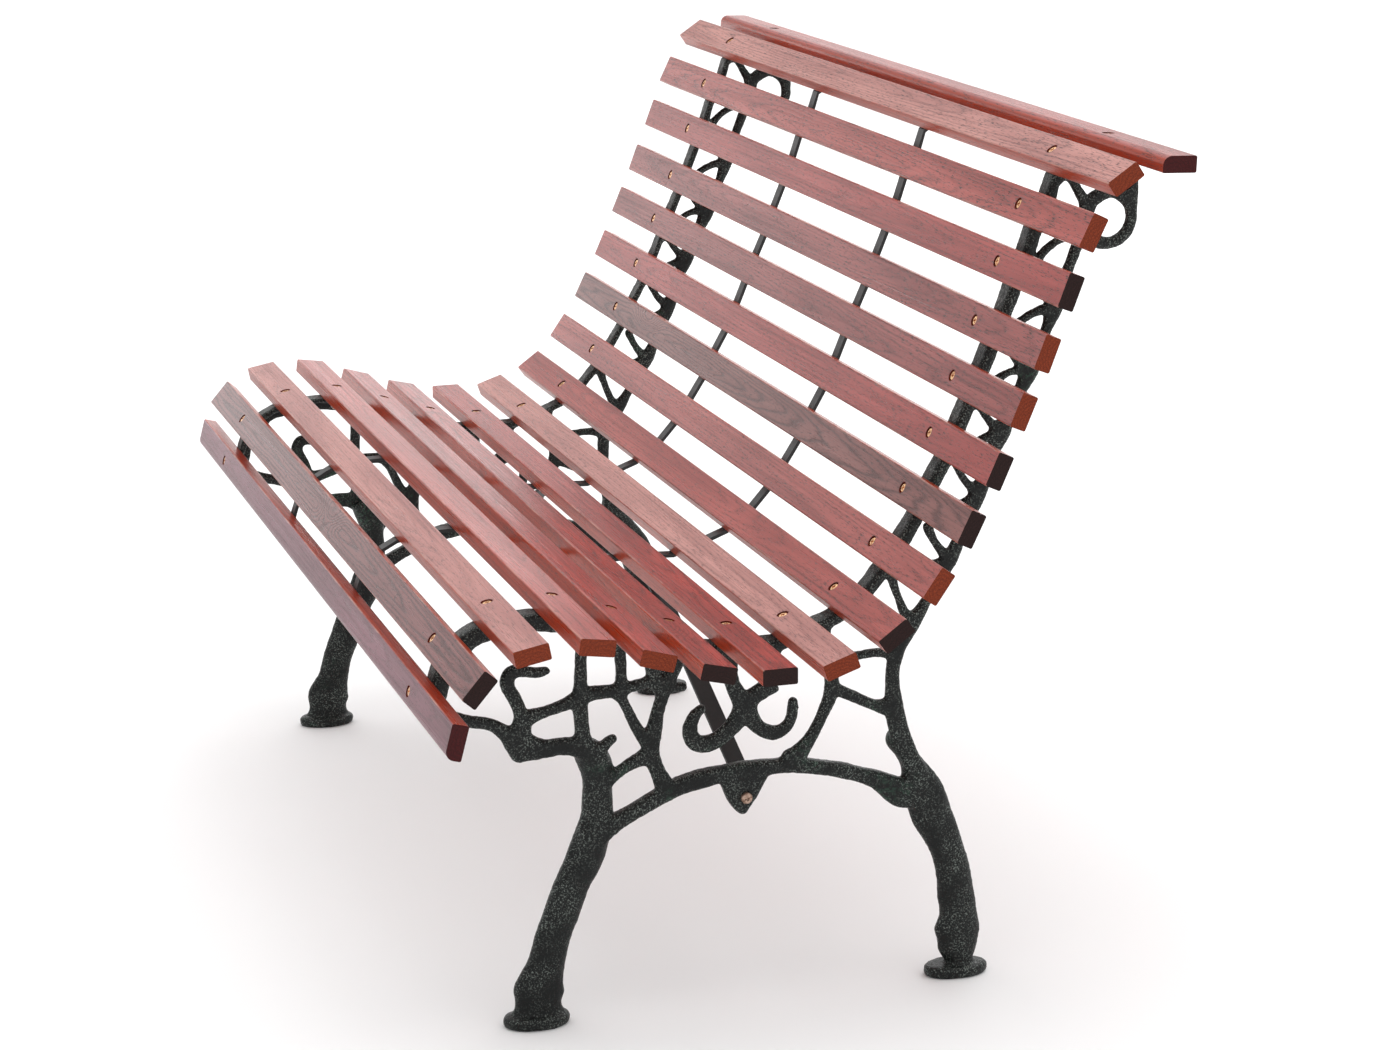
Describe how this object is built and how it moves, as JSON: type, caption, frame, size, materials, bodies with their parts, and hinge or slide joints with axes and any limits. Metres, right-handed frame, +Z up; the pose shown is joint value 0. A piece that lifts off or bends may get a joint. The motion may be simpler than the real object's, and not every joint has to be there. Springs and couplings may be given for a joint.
{
  "type": "garden bench",
  "caption": "Garden bench: contoured timber slat seat and back on a pair of pierced, branching cast side frames, stiffened by flat straps and sloping braces.",
  "frame": {"origin": "on the ground, at the middle of the bench's length and depth", "axes": "+X along the bench, -Y towards the sitter's feet (front), +Z up"},
  "size_m": [1.5, 0.8169, 0.9383],
  "materials": {
    "timber": "satin stained hardwood",
    "casting": "rough black-green paint",
    "flat_bar": "satin dark grey",
    "brace_bar": "satin black",
    "screw_heads": "bright, slightly coppery",
    "lug_hardware": "dull, slightly coppery",
    "plain_hardware": "zinc plated"
  },
  "bodies": {
    "root": {"front_apron_slat": "timber", "front_edge_slat": "timber", "seat_slat_1": "timber", "seat_slat_2": "timber", "seat_slat_3": "timber", "seat_slat_4": "timber", "seat_slat_5": "timber", "seat_slat_6": "timber", "seat_slat_7": "timber", "back_slat_1": "timber", "back_slat_2": "timber", "back_slat_3": "timber", "back_slat_4": "timber", "back_slat_5": "timber", "back_slat_6": "timber", "back_slat_7": "timber", "top_front_slat": "timber", "top_rear_slat": "timber", "side_frame_right": "casting", "slat_strap_right": "flat_bar", "brace_right": "brace_bar", "slat_bolts_right": "screw_heads", "slat_washers_right": "plain_hardware", "slat_nuts_right": "plain_hardware", "strap_screws_right": "plain_hardware", "side_frame_left": "casting", "slat_strap_left": "flat_bar", "brace_left": "brace_bar", "slat_bolts_left": "screw_heads", "slat_washers_left": "plain_hardware", "slat_nuts_left": "plain_hardware", "strap_screws_left": "plain_hardware", "lug_bolts": "lug_hardware", "lug_nuts": "plain_hardware", "brace_screws": "plain_hardware", "brace_nuts": "plain_hardware"}
  },
  "joints": []
}
